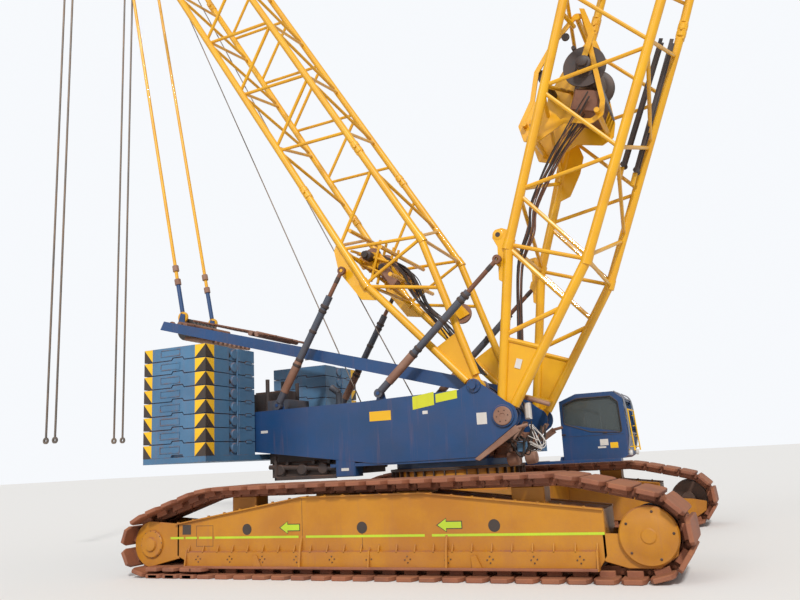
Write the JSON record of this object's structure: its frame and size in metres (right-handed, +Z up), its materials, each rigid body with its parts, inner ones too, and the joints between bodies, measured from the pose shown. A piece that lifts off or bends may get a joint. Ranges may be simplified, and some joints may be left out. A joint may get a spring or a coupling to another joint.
{
  "type": "crawler crane",
  "caption": "Large lattice boom crawler crane on two tracks with a lattice mast leaning back over stacked counterweights, an A-frame, winches, a tilting cab and a hook block",
  "frame": {"origin": "on the ground under the slewing axis, midway between the tracks", "axes": "+X forward over the front wheels, +Y to the crane's left, +Z up"},
  "size_m": [26.7271, 9.9, 37.0246],
  "materials": {
    "frame_ochre": "worn paint with red dust",
    "track_steel": "rusty steel with red earth",
    "gear_steel": "dark greasy steel",
    "blue_paint": "satin blue paint",
    "engine_dark": "dark painted housing",
    "weight_blue": "pale blue paint",
    "machinery": "dusty steel",
    "cab_blue": "satin blue paint",
    "cab_glass": "tinted glass",
    "seat_fabric": "dark woven cover",
    "winch_steel": "dark steel with rope",
    "boom_yellow": "gloss yellow paint",
    "mast_yellow": "gloss yellow paint",
    "sheave": "dark cast nylon",
    "stay_yellow": "yellow paint on steel bars",
    "strand_steel": "weathered steel straps",
    "stop_slate": "slate painted barrel",
    "rod_brown": "rusty brown rod",
    "hook_yellow": "yellow paint with dark sides"
  },
  "bodies": {
    "undercarriage": {"carbody": "frame_ochre", "crawler_frame_left": "frame_ochre", "crawler_frame_right": "frame_ochre", "track_left": "track_steel", "track_right": "track_steel", "running_gear_left": "gear_steel", "running_gear_right": "gear_steel"},
    "superstructure": {"turntable": "blue_paint", "engine": "engine_dark", "counterweight_base": "weight_blue", "counterweight_left": "weight_blue", "counterweight_right": "weight_blue", "front_machinery": "machinery", "cab_support": "blue_paint"},
    "cab": {"cab_shell": "cab_blue", "cab_glass": "cab_glass", "cab_seat": "seat_fabric"},
    "cab_door": {"cab_door": "cab_blue", "cab_door_glass": "cab_glass"},
    "winch_front": {"winch_front": "winch_steel"},
    "winch_rear": {"winch_rear": "winch_steel"},
    "a_frame": {"a_frame": "blue_paint"},
    "mast": {"mast_foot": "mast_yellow", "mast_insert": "mast_yellow", "mast_head": "mast_yellow", "backstays": "stay_yellow"},
    "mast_sheaves": {"mast_sheaves": "sheave"},
    "superlift_strands": {"superlift_strands": "strand_steel"},
    "mast_stop_barrels": {"mast_stop_barrels": "stop_slate"},
    "mast_stop_rods": {"mast_stop_rods": "rod_brown"},
    "boom": {"boom_foot": "boom_yellow", "boom_insert_lower": "boom_yellow", "boom_insert_upper": "boom_yellow", "boom_head": "boom_yellow", "boom_winch_frame": "boom_yellow"},
    "boom_sheaves": {"boom_sheaves": "sheave"},
    "boom_winch": {"boom_winch": "winch_steel"},
    "boom_stop_barrels": {"boom_stop_barrels": "stop_slate"},
    "boom_stop_rods": {"boom_stop_rods": "rod_brown"},
    "boom_stays": {"boom_stays": "stay_yellow"},
    "hook_block": {"hook_block": "hook_yellow"}
  },
  "joints": [
    {"name": "slew", "type": "hinge", "parent": "undercarriage", "child": "superstructure", "pos_m": [0, 0, 1.76], "axis": [0, 0, 1], "continuous": true},
    {"name": "boom_luff", "type": "hinge", "parent": "superstructure", "child": "boom", "pos_m": [1.64, 0, 2.74], "axis": [0, -1, 0], "range_deg": [-64, 14]},
    {"name": "mast_luff", "type": "hinge", "parent": "superstructure", "child": "mast", "pos_m": [1.05, 0, 3.41], "axis": [0, 1, 0], "range_deg": [-4, 12]},
    {"name": "a_frame_luff", "type": "hinge", "parent": "superstructure", "child": "a_frame", "pos_m": [1.05, 0, 3.41], "axis": [0, 1, 0], "range_deg": [-4, 12]},
    {"name": "boom_stop_swing", "type": "hinge", "parent": "superstructure", "child": "boom_stop_barrels", "pos_m": [-1.15, 0, 3.43], "axis": [0, -1, 0], "range_deg": [-37, 9]},
    {"name": "boom_stop_slide", "type": "slide", "parent": "boom_stop_barrels", "child": "boom_stop_rods", "axis": [0.7462, 0, 0.6657], "range_m": [-0.475, 2.137]},
    {"name": "mast_stop_swing", "type": "hinge", "parent": "superstructure", "child": "mast_stop_barrels", "pos_m": [-3.84, 0, 3.37], "axis": [0, 1, 0], "range_deg": [-2, 5]},
    {"name": "mast_stop_slide", "type": "slide", "parent": "mast_stop_barrels", "child": "mast_stop_rods", "axis": [0.5191, 0, 0.8547], "range_m": [-0.296, 0.869]},
    {"name": "stay_swing", "type": "hinge", "parent": "boom", "child": "boom_stays", "pos_m": [13.1443, 0, 36.48537], "axis": [0, -1, 0], "range_deg": [-4, 15]},
    {"name": "hook_swing", "type": "hinge", "parent": "boom", "child": "hook_block", "pos_m": [14.26976, 0, 36.45812], "axis": [0, -1, 0], "range_deg": [-15, 65]},
    {"name": "strand_swing", "type": "hinge", "parent": "mast", "child": "superlift_strands", "pos_m": [-11.41282, 0, 22.40416], "axis": [0, 1, 0], "range_deg": [-13, 5]},
    {"name": "cab_tilt", "type": "hinge", "parent": "superstructure", "child": "cab", "pos_m": [2.025, 0, 1.795], "axis": [0, -1, 0], "range_deg": [0, 20]},
    {"name": "cab_door_slide", "type": "slide", "parent": "cab", "child": "cab_door", "axis": [-1, 0, 0], "range_m": [0, 0.66]},
    {"name": "winch_front_turn", "type": "hinge", "parent": "superstructure", "child": "winch_front", "pos_m": [-0.95, 0, 2.72], "axis": [0, 1, 0], "continuous": true},
    {"name": "winch_rear_turn", "type": "hinge", "parent": "superstructure", "child": "winch_rear", "pos_m": [-1.96, 0, 2.48], "axis": [0, 1, 0], "continuous": true},
    {"name": "boom_winch_turn", "type": "hinge", "parent": "boom", "child": "boom_winch", "pos_m": [3.88627, 0, 10.43135], "axis": [0, 1, 0], "continuous": true},
    {"name": "boom_sheaves_turn", "type": "hinge", "parent": "boom", "child": "boom_sheaves", "pos_m": [14.26976, 0, 36.45812], "axis": [0, 1, 0], "continuous": true},
    {"name": "mast_sheaves_turn", "type": "hinge", "parent": "mast", "child": "mast_sheaves", "pos_m": [-10.64136, 0, 22.8677], "axis": [0, 1, 0], "continuous": true}
  ],
  "couplings": [
    {"joint": "a_frame_luff", "follows": "mast_luff", "ratio": 1},
    {"joint": "boom_stop_swing", "follows": "boom_luff", "ratio": 0.5606},
    {"joint": "boom_stop_slide", "follows": "boom_luff", "m_per_rad": -1.9044},
    {"joint": "mast_stop_swing", "follows": "mast_luff", "ratio": 0.3023},
    {"joint": "mast_stop_slide", "follows": "mast_luff", "m_per_rad": 4.0998},
    {"joint": "stay_swing", "follows": "boom_luff", "ratio": -0.2128},
    {"joint": "hook_swing", "follows": "boom_luff", "ratio": -1},
    {"joint": "strand_swing", "follows": "mast_luff", "ratio": -1}
  ]
}
